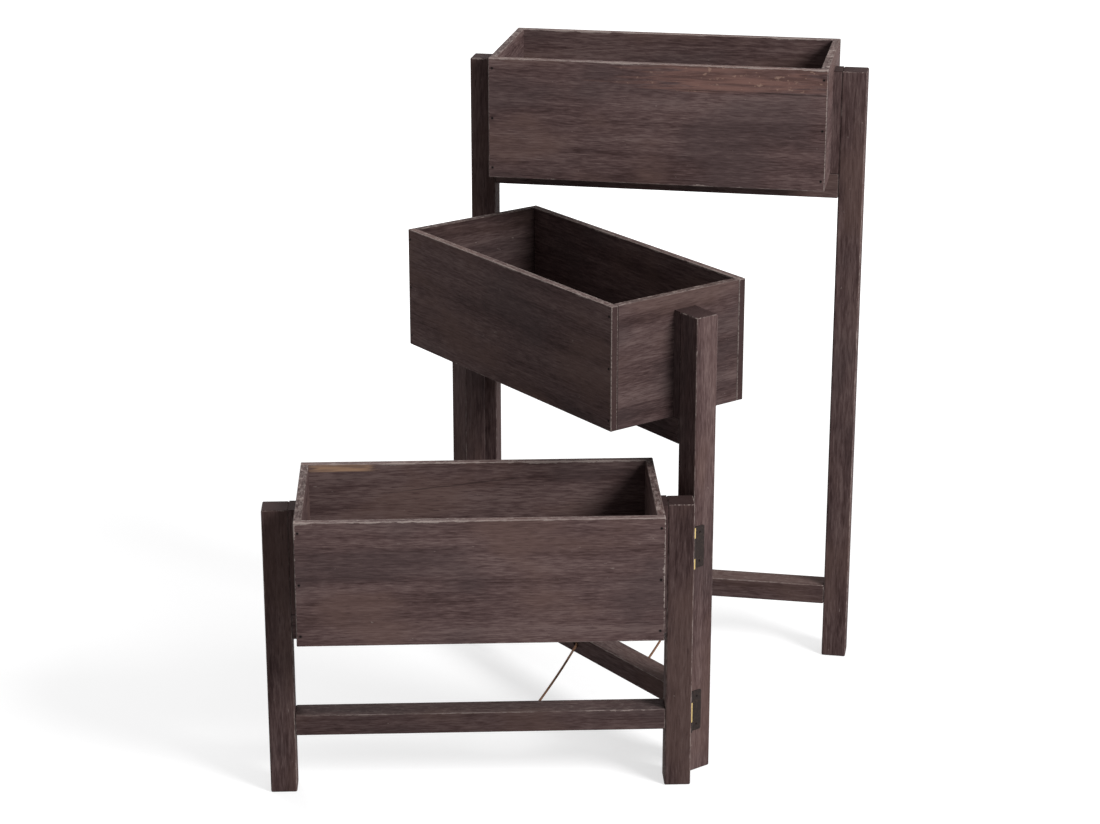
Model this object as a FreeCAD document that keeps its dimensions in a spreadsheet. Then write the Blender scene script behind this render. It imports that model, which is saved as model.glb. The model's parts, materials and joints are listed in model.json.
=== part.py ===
import FreeCAD, Part
import math
import os
import Sketcher

# A folding plant stand: three frames of rising height, hinged in a zigzag, each with a planter box.
# Every frame is drawn in its own axes: X along the frame, Y to its back, Z up, its middle on the Z axis.

Vector = FreeCAD.Vector
Rotation = FreeCAD.Rotation
Placement = FreeCAD.Placement
upright = Vector(0, 0, 1)

# Driving sizes in millimetres, and the two opening angles in degrees.
driving_sizes = {
    # Planter boxes
    "box_length": 400,
    "box_depth": 190,
    "box_height": 144,
    "board_thick": 9,
    "board_edge_round": 1,
    "box_forward": 8,
    # Frames: seat_drop runs from a post's top down to the bottom of its box
    "post_width": 30,
    "post_depth": 30,
    "post_edge_round": 2,
    "short_post": 345,
    "tier_rise": 205,
    "seat_drop": 125,
    "cleat_thick": 10,
    "rail_depth": 30,
    "rail_edge_round": 1.5,
    "support_height": 30,
    "stretcher_height": 25,
    "stretcher_lift": 71,
    # How far the frames stand open
    "front_fold": 56,
    "rear_fold": 43.5,
    "fold_gap": 2.4,
    # Butt hinges: each leaf reaches leaf_width from the pin's axis
    "leaf_height": 50,
    "leaf_width": 16,
    "leaf_thick": 1.2,
    "leaf_gap": 1,
    "leaf_corner_round": 2,
    "barrel_dia": 5,
    "middle_knuckle": 24.6,
    "knuckle_play": 0.2,
    "knuckle_room": 0.5,
    "pin_dia": 2.6,
    "pin_play": 0.05,
    "pin_head_dia": 4.2,
    "pin_head_thick": 0.8,
    "hinge_lift": 77,
    "hinge_drop": 65,
    "hinge_screw_pitch": 35,
    "hinge_screw_line": 9.5,
    "hinge_screw_dia": 3,
    "hinge_screw_head": 5,
    "hinge_screw_length": 16,
    # Wood joints
    "dowel_dia": 10,
    "dowel_length": 36,
    "hole_end_room": 1,
    "nail_dia": 2.2,
    "nail_length": 28,
    "nail_margin": 12,
    "box_screw_dia": 4,
    "box_screw_head": 8,
    "box_screw_length": 36,
    "box_screw_margin": 35,
    "hole_play": 0.1,
    # Twine stays: each end's knot is glued into a shallow hole, placed along its stretcher from the middle
    "twine_dia": 3,
    "twine_knot": 5.6,
    "knot_hole_dia": 11,
    "knot_hole_depth": 6,
    "low_knot_along": 59,
    "mid_front_knot_along": 20,
    "mid_rear_knot_along": 119,
    "tall_knot_along": 37,
}

doc = FreeCAD.newDocument("plant_stand")
sheet = doc.addObject("Spreadsheet::Sheet", "sizes")
for row, (alias, value) in enumerate(driving_sizes.items(), start=1):
    sheet.set(f"A{row}", alias)
    sheet.set(f"B{row}", str(value))
    sheet.setAlias(f"B{row}", alias)
doc.recompute()

# Sizes that several pieces share, as expressions on the sheet.
half_span = "(sizes.box_length / 2 + sizes.cleat_thick)"
post_out = f"({half_span} + sizes.post_width)"
pin_out = "(sizes.leaf_thick + sizes.leaf_gap / 2)"
seam_back = "(sizes.post_depth / 2 + sizes.fold_gap / 2)"
stretcher_middle = "(sizes.stretcher_lift + sizes.stretcher_height / 2)"
twine_height = stretcher_middle
box_front_face = "(-sizes.box_depth / 2 - sizes.box_forward)"
box_back_face = "(sizes.box_depth / 2 - sizes.box_forward)"
drilled_dowel = "(sizes.dowel_dia + sizes.hole_play)"
box_screw_cone = "((sizes.box_screw_head - sizes.box_screw_dia) / 2)"
hinge_screw_cone = "((sizes.hinge_screw_head - sizes.hinge_screw_dia) / 2)"
inner_end = "(sizes.box_length / 2 - sizes.board_thick)"
nail_line = "(sizes.box_length / 2 - sizes.board_thick / 2)"

# Flat screw heads have this angle in degrees, so a head is as deep as it overhangs its shank.
screw_head_angle = 90
# How far a cut or a tube may be from its worked-out volume, as a share of it.
volume_tolerance = 0.02

subparts = {}


def number(expression):
    return float(sheet.evalExpression(str(expression)))


def keep(piece, node, place):
    piece.Label = node
    piece.Placement = place
    subparts[node] = piece
    return piece


# A sketch plane by the axis it is square to, with the side that its normal points to.
plane_roles = {"x": ("YZ_Plane", 1), "y": ("XZ_Plane", -1), "z": ("XY_Plane", 1)}


def new_sketch(body, name, axis, level):
    role, side = plane_roles[axis]
    sketch = body.newObject("Sketcher::SketchObject", name)
    plane = next(p for p in body.Origin.OriginFeatures if p.Role == role)
    sketch.AttachmentSupport = (plane, [""])
    sketch.MapMode = "FlatFace"
    sketch.setExpression("AttachmentOffset.Base.z", f"{side} * ({level})")
    return sketch


def bind(sketch, name, constraint, expression):
    index = sketch.addConstraint(constraint)
    sketch.renameConstraint(index, name)
    sketch.setExpression(f"Constraints.{name}", expression)


def draw_rectangle(sketch, low, high):
    left, bottom = number(low[0]), number(low[1])
    right, top = number(high[0]), number(high[1])
    corners = [Vector(left, bottom), Vector(right, bottom), Vector(right, top), Vector(left, top)]
    first = sketch.GeometryCount
    for here in range(4):
        sketch.addGeometry(Part.LineSegment(corners[here], corners[(here + 1) % 4]))
    for here in range(4):
        after = first + (here + 1) % 4
        sketch.addConstraint(Sketcher.Constraint("Coincident", first + here, 2, after, 1))
    for level_line in (first, first + 2):
        sketch.addConstraint(Sketcher.Constraint("Horizontal", level_line))
    for upright_line in (first + 1, first + 3):
        sketch.addConstraint(Sketcher.Constraint("Vertical", upright_line))
    bind(sketch, f"left{first}", Sketcher.Constraint("DistanceX", -1, 1, first, 1, left), low[0])
    bind(sketch, f"bottom{first}", Sketcher.Constraint("DistanceY", -1, 1, first, 1, bottom), low[1])
    bind(sketch, f"right{first}", Sketcher.Constraint("DistanceX", -1, 1, first + 1, 2, right), high[0])
    bind(sketch, f"top{first}", Sketcher.Constraint("DistanceY", -1, 1, first + 1, 2, top), high[1])


def draw_circle(sketch, centre, diameter):
    across, up = number(centre[0]), number(centre[1])
    circle = Part.Circle(Vector(across, up), upright, number(diameter) / 2)
    here = sketch.addGeometry(circle)
    bind(sketch, f"across{here}", Sketcher.Constraint("DistanceX", -1, 1, here, 3, across), centre[0])
    bind(sketch, f"up{here}", Sketcher.Constraint("DistanceY", -1, 1, here, 3, up), centre[1])
    bind(sketch, f"diameter{here}", Sketcher.Constraint("Diameter", here, number(diameter)), diameter)


def pad(body, name, sketch, length):
    feature = body.newObject("PartDesign::Pad", name)
    feature.Profile = sketch
    feature.setExpression("Length", length)
    doc.recompute()
    return feature


def pocket(body, name, sketch, depth, along_normal):
    feature = body.newObject("PartDesign::Pocket", name)
    feature.Profile = sketch
    feature.Reversed = along_normal
    feature.setExpression("Length", depth)
    doc.recompute()
    return feature


def round_edges(body, name, base, edges, radius):
    feature = body.newObject("PartDesign::Fillet", name)
    feature.Base = (base, edges)
    feature.setExpression("Radius", radius)
    doc.recompute()
    return feature


# A sawn piece of wood from its low corner to its high corner, with eased edges.
def sawn(node, place, low, high, edge_round):
    body = doc.addObject("PartDesign::Body", node)
    sketch = new_sketch(body, f"{node}_section", "z", low[2])
    draw_rectangle(sketch, low[:2], high[:2])
    block = pad(body, f"{node}_length", sketch, f"({high[2]}) - ({low[2]})")
    every_edge = [f"Edge{edge}" for edge in range(1, len(block.Shape.Edges) + 1)]
    round_edges(body, f"{node}_eased", block, every_edge, edge_round)
    return keep(body, node, place)


# Round holes, drilled from the level given along one axis towards the side given.
def drill(body, name, axis, level, towards, centres, diameter, depth):
    before = body.Shape.Volume
    sketch = new_sketch(body, f"{body.Name}_{name}_centres", axis, level)
    for centre in centres:
        draw_circle(sketch, centre, diameter)
    pocket(body, f"{body.Name}_{name}", sketch, depth, towards * plane_roles[axis][1] > 0)
    cut = before - body.Shape.Volume
    expected = len(centres) * math.pi / 4 * number(diameter) ** 2 * number(depth)
    if abs(cut - expected) > volume_tolerance * expected:
        raise ValueError(f"{body.Name} {name}: cut {cut:.1f} of {expected:.1f} cubic millimetres")


# A plain pin along one axis, from the start point given.
turned_axis = {"x": Rotation(Vector(0, 1, 0), 90), "y": Rotation(Vector(1, 0, 0), -90), "z": Rotation()}


def pin(name, axis, start, diameter, length):
    piece = doc.addObject("Part::Cylinder", name)
    piece.setExpression("Radius", f"({diameter}) / 2")
    piece.setExpression("Height", length)
    piece.Placement = Placement(Vector(*[number(s) for s in start]), turned_axis[axis])
    return piece


# A countersunk wood screw with its flat head at the point given and its tip along the direction.
def wood_screw(name, head_at, direction, diameter, head, cone, length):
    place = Placement(Vector(*[number(s) for s in head_at]), Rotation(upright, direction))
    countersink = doc.addObject("Part::Cone", f"{name}_head")
    countersink.setExpression("Radius1", f"({head}) / 2")
    countersink.setExpression("Radius2", f"({diameter}) / 2")
    countersink.setExpression("Height", cone)
    shank = doc.addObject("Part::Cylinder", f"{name}_shank")
    shank.setExpression("Radius", f"({diameter}) / 2")
    shank.setExpression("Height", f"({length}) - ({cone})")
    shank.Placement = Placement(Vector(0, 0, number(cone)), Rotation())
    screw = doc.addObject("Part::Fuse", name)
    screw.Base = countersink
    screw.Tool = shank
    screw.Placement = place
    return screw


def group(node, place, pieces):
    doc.recompute()
    compound = doc.addObject("Part::Compound", node)
    compound.Links = pieces
    doc.recompute()
    return keep(compound, node, place)


# The two seams: hinge heights by the lower of the posts that each one joins.
class Seam:
    def __init__(self, name, lower_post):
        self.name = name
        self.lifts = {
            "bottom": "sizes.hinge_lift",
            "top": f"({lower_post} - sizes.hinge_drop)",
        }

    def screw_heights(self):
        pitch = "sizes.hinge_screw_pitch / 2"
        return [f"{lift} {sign} {pitch}" for lift in self.lifts.values() for sign in "-+"]


class Frame:
    def __init__(self, name, post_height, place):
        self.name = name
        self.post_height = post_height
        self.place = place
        self.box_bottom = f"({post_height} - sizes.seat_drop)"
        self.box_top = f"({self.box_bottom} + sizes.box_height)"
        self.support_middle = f"({self.box_bottom} - sizes.support_height / 2)"
        self.box_screw_heights = [
            f"({self.box_bottom} + sizes.box_screw_margin)",
            f"({post_height} - sizes.box_screw_margin)",
        ]
        self.nail_heights = [
            f"({self.box_bottom} + sizes.nail_margin)",
            f"({self.box_bottom} + sizes.box_height / 2)",
            f"({self.box_top} - sizes.nail_margin)",
        ]

    def node(self, piece):
        return f"{self.name}_{piece}"


sides = {"left": -1, "right": 1}
ends = {"front": -1, "back": 1}
front_seam = Seam("front", "sizes.short_post")
rear_seam = Seam("rear", "(sizes.short_post + sizes.tier_rise)")

# Each frame's place in plan: the low one lies along X, and the others follow across their seams.
hinge_x = number(post_out) + number(pin_out)
hinge_y = number(seam_back)
right_back = Vector(hinge_x, hinge_y)
right_front = Vector(hinge_x, -hinge_y)
left_back = Vector(-hinge_x, hinge_y)
left_front = Vector(-hinge_x, -hinge_y)


def across_seam(place, own_axis, next_axis, angle):
    turn = place.Rotation.multiply(Rotation(upright, angle))
    return Placement(place.multVec(own_axis) - turn.multVec(next_axis), turn)


low_place = Placement()
mid_place = across_seam(low_place, right_back, right_front, -number("sizes.front_fold"))
tall_place = across_seam(mid_place, left_back, left_front, number("sizes.rear_fold"))
low = Frame("low", "sizes.short_post", low_place)
mid = Frame("mid", "(sizes.short_post + sizes.tier_rise)", mid_place)
tall = Frame("tall", "(sizes.short_post + 2 * sizes.tier_rise)", tall_place)
frames = [low, mid, tall]

# Which posts carry hinge leaves, and on which side of the post's middle the pin stands.
hinged_posts = {
    "low_right_post": [(front_seam, 1)],
    "mid_right_post": [(front_seam, -1)],
    "mid_left_post": [(rear_seam, 1)],
    "tall_left_post": [(rear_seam, -1)],
}
# Where the twines' knots sit in the stretchers: distance along, and the face.
twine_knots = {
    "low": [("sizes.low_knot_along", "back")],
    "mid": [("sizes.mid_front_knot_along", "front"), ("sizes.mid_rear_knot_along", "back")],
    "tall": [("sizes.tall_knot_along", "front")],
}


def screw_line(pin_side):
    return f"{pin_side} * ({seam_back} - sizes.hinge_screw_line)"


# Posts, with blind holes for dowels and box screws inside and for hinge screws outside.
def make_post(frame, side):
    sign = sides[side]
    node = frame.node(f"{side}_post")
    inner, outer = half_span, post_out
    if sign < 0:
        inner, outer = f"-{post_out}", f"-{half_span}"
    post = sawn(node, frame.place,
                (inner, "-sizes.post_depth / 2", "0"),
                (outer, "sizes.post_depth / 2", frame.post_height),
                "sizes.post_edge_round")
    inner_face = f"{sign} * {half_span}"
    drill(post, "dowel_holes", "x", inner_face, sign,
          [("0", stretcher_middle), ("0", frame.support_middle)],
          drilled_dowel, "sizes.dowel_length / 2 + sizes.hole_end_room")
    drill(post, "box_screw_holes", "x", inner_face, sign,
          [("0", height) for height in frame.box_screw_heights],
          "sizes.box_screw_dia + sizes.hole_play",
          "sizes.box_screw_length - sizes.board_thick - sizes.cleat_thick + sizes.hole_end_room")
    for seam, pin_side in hinged_posts.get(node, []):
        drill(post, "hinge_screw_holes", "x", f"{sign} * {post_out}", -sign,
              [(screw_line(pin_side), height) for height in seam.screw_heights()],
              "sizes.hinge_screw_dia + sizes.hole_play", "sizes.hinge_screw_length")


def make_rails(frame):
    rails = {
        "stretcher": ("sizes.stretcher_lift", "sizes.stretcher_lift + sizes.stretcher_height"),
        "box_support": (f"{frame.box_bottom} - sizes.support_height", frame.box_bottom),
    }
    middles = {"stretcher": stretcher_middle, "box_support": frame.support_middle}
    for piece, (bottom, top) in rails.items():
        rail = sawn(frame.node(piece), frame.place,
                    (f"-{half_span}", "-sizes.rail_depth / 2", bottom),
                    (half_span, "sizes.rail_depth / 2", top),
                    "sizes.rail_edge_round")
        for side, sign in sides.items():
            drill(rail, f"{side}_dowel_hole", "x", f"{sign} * {half_span}", -sign,
                  [("0", middles[piece])],
                  drilled_dowel, "sizes.dowel_length / 2 + sizes.hole_end_room")
    stretcher = subparts[frame.node("stretcher")]
    for along, face in twine_knots[frame.name]:
        drill(stretcher, f"{face}_knot_hole", "y", f"{ends[face]} * sizes.rail_depth / 2", -ends[face],
              [(along, twine_height)], "sizes.knot_hole_dia", "sizes.knot_hole_depth")


def make_dowels(frame):
    dowels = []
    for height in (stretcher_middle, frame.support_middle):
        for sign in sides.values():
            start = f"{sign} * {half_span} - sizes.dowel_length / 2"
            name = frame.node(f"dowel{len(dowels)}")
            dowels.append(pin(name, "x", (start, "0", height), "sizes.dowel_dia", "sizes.dowel_length"))
    group(frame.node("dowels"), frame.place, dowels)


# Cleats fill the room between each post and the box's end, and stand on the support.
def make_cleats(frame):
    cleats = []
    for side, sign in sides.items():
        low_x, high_x = "sizes.box_length / 2", half_span
        if sign < 0:
            low_x, high_x = f"-{half_span}", "-sizes.box_length / 2"
        cleat = doc.addObject("Part::Box", frame.node(f"{side}_cleat_block"))
        cleat.setExpression("Length", "sizes.cleat_thick")
        cleat.setExpression("Width", "sizes.post_depth")
        cleat.setExpression("Height", "sizes.seat_drop")
        corner = (low_x, "-sizes.post_depth / 2", frame.box_bottom)
        cleat.Placement = Placement(Vector(*[number(c) for c in corner]), Rotation())
        holes = []
        for height in frame.box_screw_heights:
            name = frame.node(f"{side}_cleat_hole{len(holes)}")
            holes.append(pin(name, "x", (low_x, "0", height),
                             "sizes.box_screw_dia + sizes.hole_play", "sizes.cleat_thick"))
        drilled = doc.addObject("Part::MultiFuse", frame.node(f"{side}_cleat_holes"))
        drilled.Shapes = holes
        piece = doc.addObject("Part::Cut", frame.node(f"{side}_cleat"))
        piece.Base = cleat
        piece.Tool = drilled
        cleats.append(piece)
    group(frame.node("cleats"), frame.place, cleats)


# The box: front and back boards lap over the end boards, and the floor lies between all four.
def make_box(frame):
    bottom, top = frame.box_bottom, frame.box_top
    inner_front = f"({box_front_face} + sizes.board_thick)"
    inner_back = f"({box_back_face} - sizes.board_thick)"
    nail_hole = "sizes.nail_dia + sizes.hole_play"
    faces = {"front": (box_front_face, inner_front), "back": (inner_back, box_back_face)}
    for name, (near, far) in faces.items():
        board = sawn(frame.node(f"box_{name}"), frame.place,
                     ("-sizes.box_length / 2", near, bottom),
                     ("sizes.box_length / 2", far, top),
                     "sizes.board_edge_round")
        centres = [(f"{sign} * {nail_line}", height)
                   for sign in sides.values() for height in frame.nail_heights]
        outer = box_front_face if name == "front" else box_back_face
        drill(board, "nail_holes", "y", outer, -ends[name], centres, nail_hole, "sizes.board_thick")
    for side, sign in sides.items():
        low_x, high_x = inner_end, "sizes.box_length / 2"
        if sign < 0:
            low_x, high_x = "-sizes.box_length / 2", f"-{inner_end}"
        board = sawn(frame.node(f"box_{side}_end"), frame.place,
                     (low_x, inner_front, bottom), (high_x, inner_back, top),
                     "sizes.board_edge_round")
        for face, level in (("front", inner_front), ("back", inner_back)):
            drill(board, f"{face}_nail_holes", "y", level, -ends[face],
                  [(f"{sign} * {nail_line}", height) for height in frame.nail_heights],
                  nail_hole, "sizes.nail_length - sizes.board_thick")
        countersunk = new_sketch(board, f"{board.Name}_screw_centres", "x", f"{sign} * {inner_end}")
        for height in frame.box_screw_heights:
            draw_circle(countersunk, ("0", height), "sizes.box_screw_dia + sizes.hole_play")
        doc.recompute()
        countersink(board, countersunk, sign > 0, "sizes.box_screw_dia", "sizes.box_screw_head")
    sawn(frame.node("box_floor"), frame.place,
         (f"-{inner_end}", inner_front, bottom),
         (inner_end, inner_back, f"{bottom} + sizes.board_thick"),
         "sizes.board_edge_round")


# Clearance holes with a countersink for a flat screw head.
def countersink(body, sketch, along_normal, diameter, head):
    hole = body.newObject("PartDesign::Hole", f"{body.Name}_screw_holes")
    hole.Profile = sketch
    hole.DepthType = "ThroughAll"
    hole.HoleCutType = "Countersink"
    hole.HoleCutCustomValues = True
    hole.HoleCutCountersinkAngle = screw_head_angle
    hole.Reversed = along_normal
    hole.setExpression("Diameter", f"{diameter} + sizes.hole_play")
    hole.setExpression("HoleCutDiameter", f"{head} + sizes.hole_play")
    before = body.Shape.Volume
    doc.recompute()
    if body.Shape.Volume >= before:
        raise ValueError(f"{body.Name}: the screw holes cut nothing")


def make_box_nails(frame):
    nails = []
    starts = {"front": box_front_face, "back": f"({box_back_face} - sizes.nail_length)"}
    for start in starts.values():
        for sign in sides.values():
            for height in frame.nail_heights:
                name = frame.node(f"nail{len(nails)}")
                place = (f"{sign} * {nail_line}", start, height)
                nails.append(pin(name, "y", place, "sizes.nail_dia", "sizes.nail_length"))
    group(frame.node("box_nails"), frame.place, nails)


def make_box_screws(frame):
    screws = []
    for sign in sides.values():
        for height in frame.box_screw_heights:
            name = frame.node(f"box_screw{len(screws)}")
            screws.append(wood_screw(name, (f"{sign} * {inner_end}", "0", height), Vector(sign, 0, 0),
                                     "sizes.box_screw_dia", "sizes.box_screw_head",
                                     box_screw_cone, "sizes.box_screw_length"))
    group(frame.node("box_screws"), frame.place, screws)


def make_hinge_screws(frame):
    screws = []
    for side, sign in sides.items():
        for seam, pin_side in hinged_posts.get(frame.node(f"{side}_post"), []):
            head_face = f"{sign} * ({post_out} + sizes.leaf_thick)"
            for height in seam.screw_heights():
                name = frame.node(f"hinge_screw{len(screws)}")
                screws.append(wood_screw(name, (head_face, screw_line(pin_side), height), Vector(-sign, 0, 0),
                                         "sizes.hinge_screw_dia", "sizes.hinge_screw_head",
                                         hinge_screw_cone, "sizes.hinge_screw_length"))
    group(frame.node("hinge_screws"), frame.place, screws)


def knot_centre(frame, number_on_frame):
    along, face = twine_knots[frame.name][number_on_frame]
    sunk = "(sizes.knot_hole_depth - sizes.twine_knot / 2 - sizes.hole_play)"
    back = number(f"{ends[face]} * (sizes.rail_depth / 2 - {sunk})")
    return frame.place.multVec(Vector(number(along), back, number(twine_height)))


# One leaf of a three-knuckle butt hinge about the Z axis: the plate lies behind the pin at -X and
# reaches along +Y. The forked leaf has the two outer knuckles, and the tongue leaf the middle one.
def make_leaf(node, forked):
    leaf = doc.addObject("PartDesign::Body", node)
    foot = "-sizes.leaf_height / 2"
    plate = new_sketch(leaf, f"{node}_plate_outline", "z", foot)
    draw_rectangle(plate, (f"-{pin_out}", "0"), ("-sizes.leaf_gap / 2", "sizes.leaf_width"))
    flat = pad(leaf, f"{node}_plate", plate, "sizes.leaf_height")
    corners = [f"Edge{i}" for i, edge in enumerate(flat.Shape.Edges, start=1)
               if edge.BoundBox.YMin > number("sizes.leaf_width") - number("sizes.leaf_thick") / 2
               and edge.BoundBox.ZLength < number("sizes.leaf_thick") / 2]
    round_edges(leaf, f"{node}_corners", flat, corners, "sizes.leaf_corner_round")
    barrel = new_sketch(leaf, f"{node}_barrel_outline", "z", foot)
    draw_circle(barrel, ("0", "0"), "sizes.barrel_dia")
    pad(leaf, f"{node}_barrel", barrel, "sizes.leaf_height")
    reach = "(sizes.barrel_dia / 2 + sizes.knuckle_room)"
    outer_knuckle = "((sizes.leaf_height - sizes.middle_knuckle) / 2)"
    if forked:
        notches = [("-sizes.middle_knuckle / 2 - sizes.knuckle_play",
                    "sizes.middle_knuckle + 2 * sizes.knuckle_play")]
    else:
        notches = [(foot, outer_knuckle), ("sizes.middle_knuckle / 2", outer_knuckle)]
    for count, (bottom, tall_cut) in enumerate(notches):
        notch = new_sketch(leaf, f"{node}_notch{count}_outline", "z", bottom)
        draw_rectangle(notch, (f"-{reach}", f"-{reach}"), (reach, reach))
        pocket(leaf, f"{node}_notch{count}", notch, tall_cut, True)
    bore = new_sketch(leaf, f"{node}_bore_outline", "z", foot)
    draw_circle(bore, ("0", "0"), "sizes.pin_dia + 2 * sizes.pin_play")
    pocket(leaf, f"{node}_bore", bore, "sizes.leaf_height", True)
    holes = new_sketch(leaf, f"{node}_screw_centres", "x", "-sizes.leaf_gap / 2")
    for sign in "-+":
        draw_circle(holes, ("sizes.hinge_screw_line", f"0 {sign} sizes.hinge_screw_pitch / 2"),
                    "sizes.hinge_screw_dia + sizes.hole_play")
    doc.recompute()
    countersink(leaf, holes, False, "sizes.hinge_screw_dia", "sizes.hinge_screw_head")
    return leaf


# The pin fills the barrel, with a flat head proud of each end.
def make_hinge_pin(node):
    barrel_foot, barrel_top = "-sizes.leaf_height / 2", "sizes.leaf_height / 2"
    shank = pin(f"{node}_shank", "z", ("0", "0", barrel_foot), "sizes.pin_dia", "sizes.leaf_height")
    top = pin(f"{node}_top", "z", ("0", "0", barrel_top), "sizes.pin_head_dia", "sizes.pin_head_thick")
    foot = pin(f"{node}_foot", "z", ("0", "0", f"{barrel_foot} - sizes.pin_head_thick"),
               "sizes.pin_head_dia", "sizes.pin_head_thick")
    whole = doc.addObject("Part::MultiFuse", node)
    whole.Shapes = [shank, top, foot]
    doc.recompute()
    return whole


# How a leaf is turned to lie on each frame's post, and the pin's place in that frame's plan.
flip_x = Rotation(Vector(1, 0, 0), 180)
flip_y = Rotation(Vector(0, 1, 0), 180)
half_turn = Rotation(upright, 180)
seam_sides = {
    "front": [(low, right_back, flip_x), (mid, right_front, Rotation())],
    "rear": [(tall, left_front, flip_y), (mid, left_back, half_turn)],
}


def make_hinges(seam):
    for level, lift in seam.lifts.items():
        hinge = f"{seam.name}_{level}_hinge"
        rise = Vector(0, 0, number(lift))
        for frame, axis, turn in seam_sides[seam.name]:
            forked = (frame is mid) == (level == "bottom")
            leaf = make_leaf(f"{hinge}_{frame.name}_leaf", forked)
            keep(leaf, leaf.Name, frame.place.multiply(Placement(axis + rise, turn)))
        hinge_pin = make_hinge_pin(f"{hinge}_pin")
        keep(hinge_pin, hinge_pin.Name, frame.place.multiply(Placement(axis + rise, Rotation())))


# A twine's centre line: straight runs joined by tangent arcs as large as the runs allow.
arc_share = 0.45


def cord_path(points, name):
    edges = []
    start = points[0]
    for before, here, after in zip(points, points[1:], points[2:]):
        back = before - here
        ahead = after - here
        half_turn_angle = (math.pi - back.getAngle(ahead)) / 2
        cut_back = arc_share * min(back.Length, ahead.Length)
        radius = cut_back / math.tan(half_turn_angle)
        print(f"{name}: arc radius {radius:.0f} mm")
        arc_in = here + back.normalize() * cut_back
        arc_out = here + ahead.normalize() * cut_back
        inward = (back + ahead).normalize()
        middle = here + inward * (radius / math.cos(half_turn_angle) - radius)
        edges.append(Part.LineSegment(start, arc_in).toShape())
        edges.append(Part.Arc(arc_in, middle, arc_out).toShape())
        start = arc_out
    edges.append(Part.LineSegment(start, points[-1]).toShape())
    return Part.Wire(edges)


# A twine between two knots, with a line that hangs a little.
# Each droop point is the share of the way along and how far the line hangs there, in millimetres.
def make_twine(node, start, end, droops):
    thick, knot = number("sizes.twine_dia"), number("sizes.twine_knot")
    points = [start]
    for share, droop in droops:
        points.append(start + (end - start) * share - upright * droop)
    points.append(end)
    path = cord_path(points, node)
    profile = Part.Wire([Part.makeCircle(thick / 2, start, points[1] - points[0])])
    line = path.makePipeShell([profile], True, False)
    if abs(line.Volume / (math.pi / 4 * thick ** 2 * path.Length) - 1) > volume_tolerance:
        raise ValueError(f"{node}: the tube's volume is not its section times its length")
    twine = doc.addObject("Part::Feature", node)
    knots = [Part.makeSphere(knot / 2, end_point) for end_point in (start, end)]
    twine.Shape = line.fuse(knots).removeSplitter().Solids[0]
    keep(twine, node, Placement())


for frame in frames:
    for side in sides:
        make_post(frame, side)
    make_rails(frame)
    make_dowels(frame)
    make_cleats(frame)
    make_box(frame)
    make_box_nails(frame)
    make_box_screws(frame)
    make_hinge_screws(frame)
for seam in (front_seam, rear_seam):
    make_hinges(seam)


# The origin is on the floor, at the middle of the stand's plan without its twines.
doc.recompute()
plan = FreeCAD.BoundBox()
for piece in subparts.values():
    plan.add(piece.Shape.BoundBox)
make_twine("front_twine", knot_centre(low, 0), knot_centre(mid, 0),
           [(0.19, 1.4), (0.42, 2.6), (0.63, 2.8), (0.82, 1.7)])
make_twine("rear_twine", knot_centre(mid, 1), knot_centre(tall, 0),
           [(0.18, 4.6), (0.4, 8.2), (0.62, 8.4), (0.83, 4.9)])
to_origin = Placement(Vector(-plan.Center.x, -plan.Center.y, 0), Rotation())
for piece in subparts.values():
    piece.Placement = to_origin.multiply(piece.Placement)
doc.recompute()

faulty = [item.Name for item in doc.Objects if {"Invalid", "Error"} & set(item.State)]
if faulty:
    raise ValueError(f"these objects failed: {faulty}")
for node, piece in subparts.items():
    if piece.Shape.isNull() or not piece.Shape.isValid():
        raise ValueError(f"{node} has no valid shape")

os.makedirs("parts", exist_ok=True)
for node, piece in subparts.items():
    piece.Shape.exportStep(f"parts/{node}.step")

# Where the frames and the hinge axes stand.
for frame in frames:
    place = to_origin.multiply(frame.place)
    turn = place.Rotation.toEuler()[0]
    print(f"{frame.name} frame at {place.Base.x:.3f}, {place.Base.y:.3f} turned {turn:.3f}")
for seam, frame, axis in ((front_seam, low, right_back), (rear_seam, mid, left_back)):
    spot = to_origin.multVec(frame.place.multVec(axis))
    print(f"{seam.name} hinge axis at {spot.x:.3f}, {spot.y:.3f}")
print(f"{len(subparts)} nodes, plan {plan.XLength:.1f} by {plan.YLength:.1f}, height {plan.ZMax:.1f}")
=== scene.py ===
import bmesh
import bpy
import json
import math
import random
from mathutils import Euler, Matrix, Vector


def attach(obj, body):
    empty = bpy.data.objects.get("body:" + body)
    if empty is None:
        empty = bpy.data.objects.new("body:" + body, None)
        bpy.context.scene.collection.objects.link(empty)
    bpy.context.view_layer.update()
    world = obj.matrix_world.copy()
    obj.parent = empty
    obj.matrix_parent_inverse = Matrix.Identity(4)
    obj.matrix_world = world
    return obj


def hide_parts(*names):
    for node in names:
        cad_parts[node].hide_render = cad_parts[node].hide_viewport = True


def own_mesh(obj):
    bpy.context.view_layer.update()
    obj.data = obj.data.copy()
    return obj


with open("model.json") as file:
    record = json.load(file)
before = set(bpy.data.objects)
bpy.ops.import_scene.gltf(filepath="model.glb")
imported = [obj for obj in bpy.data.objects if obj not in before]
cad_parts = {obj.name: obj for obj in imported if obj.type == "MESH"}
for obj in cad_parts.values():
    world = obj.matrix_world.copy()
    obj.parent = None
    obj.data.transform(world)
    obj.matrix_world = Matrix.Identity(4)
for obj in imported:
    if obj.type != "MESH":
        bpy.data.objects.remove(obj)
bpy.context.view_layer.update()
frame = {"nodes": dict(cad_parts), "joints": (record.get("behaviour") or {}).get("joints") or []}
nodes = frame["nodes"]
joints = {joint["name"]: joint for joint in frame["joints"]}
print("frame loaded:", len(nodes), "nodes")

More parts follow.
